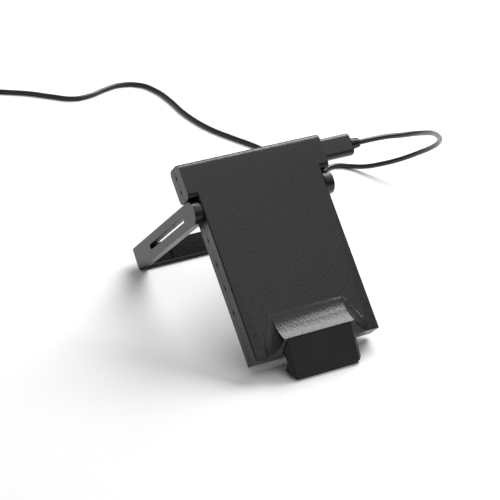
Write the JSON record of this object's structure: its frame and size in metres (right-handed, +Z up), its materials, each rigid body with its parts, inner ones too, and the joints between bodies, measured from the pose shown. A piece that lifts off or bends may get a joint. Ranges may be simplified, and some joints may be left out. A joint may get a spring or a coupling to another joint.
{
  "type": "folding charging stand",
  "caption": "Black charging stand: a slab that leans back on a folding U-shaped kickstand, with a ledge for a phone at its foot and a USB cable plugged into its head.",
  "frame": {"origin": "on the table under the middle of the stand and its open kickstand, the cable left out", "axes": "+Y away from the user, from the ledge to the kickstand's foot, +X to the user's right, +Z up"},
  "size_m": [0.2769, 0.4591, 0.0982],
  "materials": {
    "black_plastic": "fine spark-eroded grain, satin",
    "black_rubber": "matt moulded rubber",
    "plug_plastic": "satin moulded overmould",
    "cable_jacket": "soft satin jacket",
    "strap": "woven hook-and-loop strap",
    "plug_steel": "nickel-plated stamping",
    "insert_plastic": "moulded insert",
    "black_insert": "moulded insert",
    "copper": "wound enamelled copper wire",
    "ferrite": "sintered ferrite, matt",
    "carrier_plastic": "moulded carrier",
    "sheet_aluminium": "rolled sheet",
    "board": "solder resist",
    "sheet_steel": "tinned steel can",
    "silicone": "soft thermal pad",
    "screw_steel": "zinc-plated steel",
    "ceramic": "ceramic body",
    "bush_brass": "machined"
  },
  "bodies": {
    "stand": {"board_screw_1": "screw_steel", "board_screw_2": "screw_steel", "boot_pad": "black_rubber", "capacitor_1": "ceramic", "capacitor_2": "ceramic", "capacitor_3": "ceramic", "capacitor_4": "ceramic", "circuit_board": "board", "coil_carrier": "carrier_plastic", "coil_lower": "copper", "coil_upper": "copper", "cover_screw_1": "screw_steel", "cover_screw_2": "screw_steel", "cover_screw_3": "screw_steel", "cover_screw_4": "screw_steel", "cover_screw_5": "screw_steel", "cover_screw_6": "screw_steel", "ferrite_sheet": "ferrite", "friction_washer_left": "screw_steel", "friction_washer_right": "screw_steel", "front_cover": "black_plastic", "heat_spreader": "sheet_aluminium", "hinge_bush_left": "bush_brass", "hinge_bush_right": "bush_brass", "ledge_boot": "black_rubber", "power_inductor": "ferrite", "rear_cover": "black_plastic", "shield_can": "sheet_steel", "socket_tongue": "black_insert", "thermal_pad": "silicone", "usb_c_socket": "plug_steel"},
    "kickstand": {"kickstand_frame": "black_plastic", "foot_strip": "black_rubber", "hinge_pin_left": "screw_steel", "hinge_pin_right": "screw_steel"},
    "usb_cable": {"usb_c_plug_shell": "plug_steel", "usb_c_plug": "plug_plastic", "strain_relief": "cable_jacket", "cable": "cable_jacket", "cable_coil": "cable_jacket", "cable_strap": "strap", "cable_tail": "cable_jacket", "usb_a_strain_relief": "cable_jacket", "usb_a_plug": "plug_plastic", "usb_a_shell": "plug_steel", "usb_a_tongue": "insert_plastic"}
  },
  "joints": [
    {"name": "kickstand_fold", "type": "hinge", "parent": "stand", "child": "kickstand", "pos_m": [0, 0.00389, 0.07388], "axis": [-1, 0, 0], "range_deg": [0, 92.9]},
    {"name": "cable_unplug", "type": "slide", "parent": "stand", "child": "usb_cable", "axis": [1, 0, 0], "range_m": [0, 0.009]}
  ]
}
